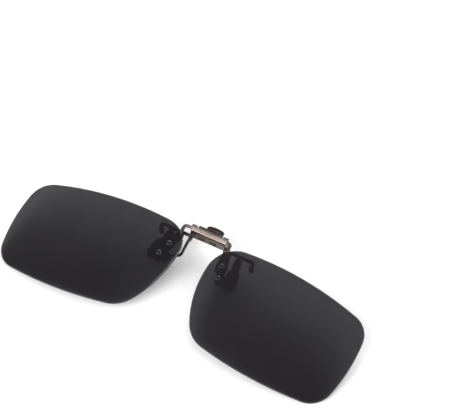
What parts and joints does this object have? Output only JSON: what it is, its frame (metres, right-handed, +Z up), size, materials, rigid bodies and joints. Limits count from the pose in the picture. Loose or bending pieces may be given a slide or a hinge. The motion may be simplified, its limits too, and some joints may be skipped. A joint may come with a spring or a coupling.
{
  "type": "clip-on sunglasses",
  "caption": "Flip-up clip-on sunglasses: two dark tinted lenses on a hinged wire, carried by a sprung centre clip with rubber-sleeved jaws.",
  "frame": {"origin": "centre of the footprint on the table, the part lying on its back as when taken off, lens fronts up", "axes": "+X along the lens pair from the left lens to the right one, +Y towards the clip and the upper lens edges, +Z up from the table"},
  "size_m": [0.1244, 0.0438, 0.0106],
  "materials": {
    "lens_tint": "polished, dark grey tint",
    "housing_metal": "satin bronze gunmetal plating",
    "wire_metal": "satin dark gunmetal plating",
    "black_metal": "gloss black",
    "spring_steel": "oiled black",
    "tab_plastic": "satin black",
    "sleeve_rubber": "matt black",
    "washer_plastic": "black"
  },
  "bodies": {
    "rear_jaw": {"rear_lever": "wire_metal", "thumb_tab": "tab_plastic", "left_rear_wire": "wire_metal", "right_rear_wire": "wire_metal", "left_rear_sleeve": "sleeve_rubber", "right_rear_sleeve": "sleeve_rubber"},
    "clip_body": {"clip_housing": "housing_metal", "jaw_pivot_pin": "black_metal", "jaw_spring": "spring_steel", "flip_detent_leaf": "spring_steel", "left_front_arm": "wire_metal", "right_front_arm": "wire_metal", "left_front_sleeve": "sleeve_rubber", "right_front_sleeve": "sleeve_rubber", "left_rest_tip": "sleeve_rubber", "right_rest_tip": "sleeve_rubber"},
    "lens_pair": {"flip_hinge_wire": "wire_metal", "left_lens": "lens_tint", "right_lens": "lens_tint", "left_lens_rivets": "black_metal", "right_lens_rivets": "black_metal", "left_lens_washers": "washer_plastic", "right_lens_washers": "washer_plastic", "left_lens_bracket": "wire_metal", "right_lens_bracket": "wire_metal"}
  },
  "joints": [
    {"name": "jaw_open", "type": "hinge", "parent": "rear_jaw", "child": "clip_body", "pos_m": [0, 0.0162, 0.00551], "axis": [-1, 0, 0], "range_deg": [0, 25], "stiffness_Nm_per_rad": 0.02, "springref_deg": -20.05},
    {"name": "lens_flip", "type": "hinge", "parent": "clip_body", "child": "lens_pair", "pos_m": [0, 0.01701, 0.00793], "axis": [-1, 0, 0], "range_deg": [0, 95]}
  ]
}
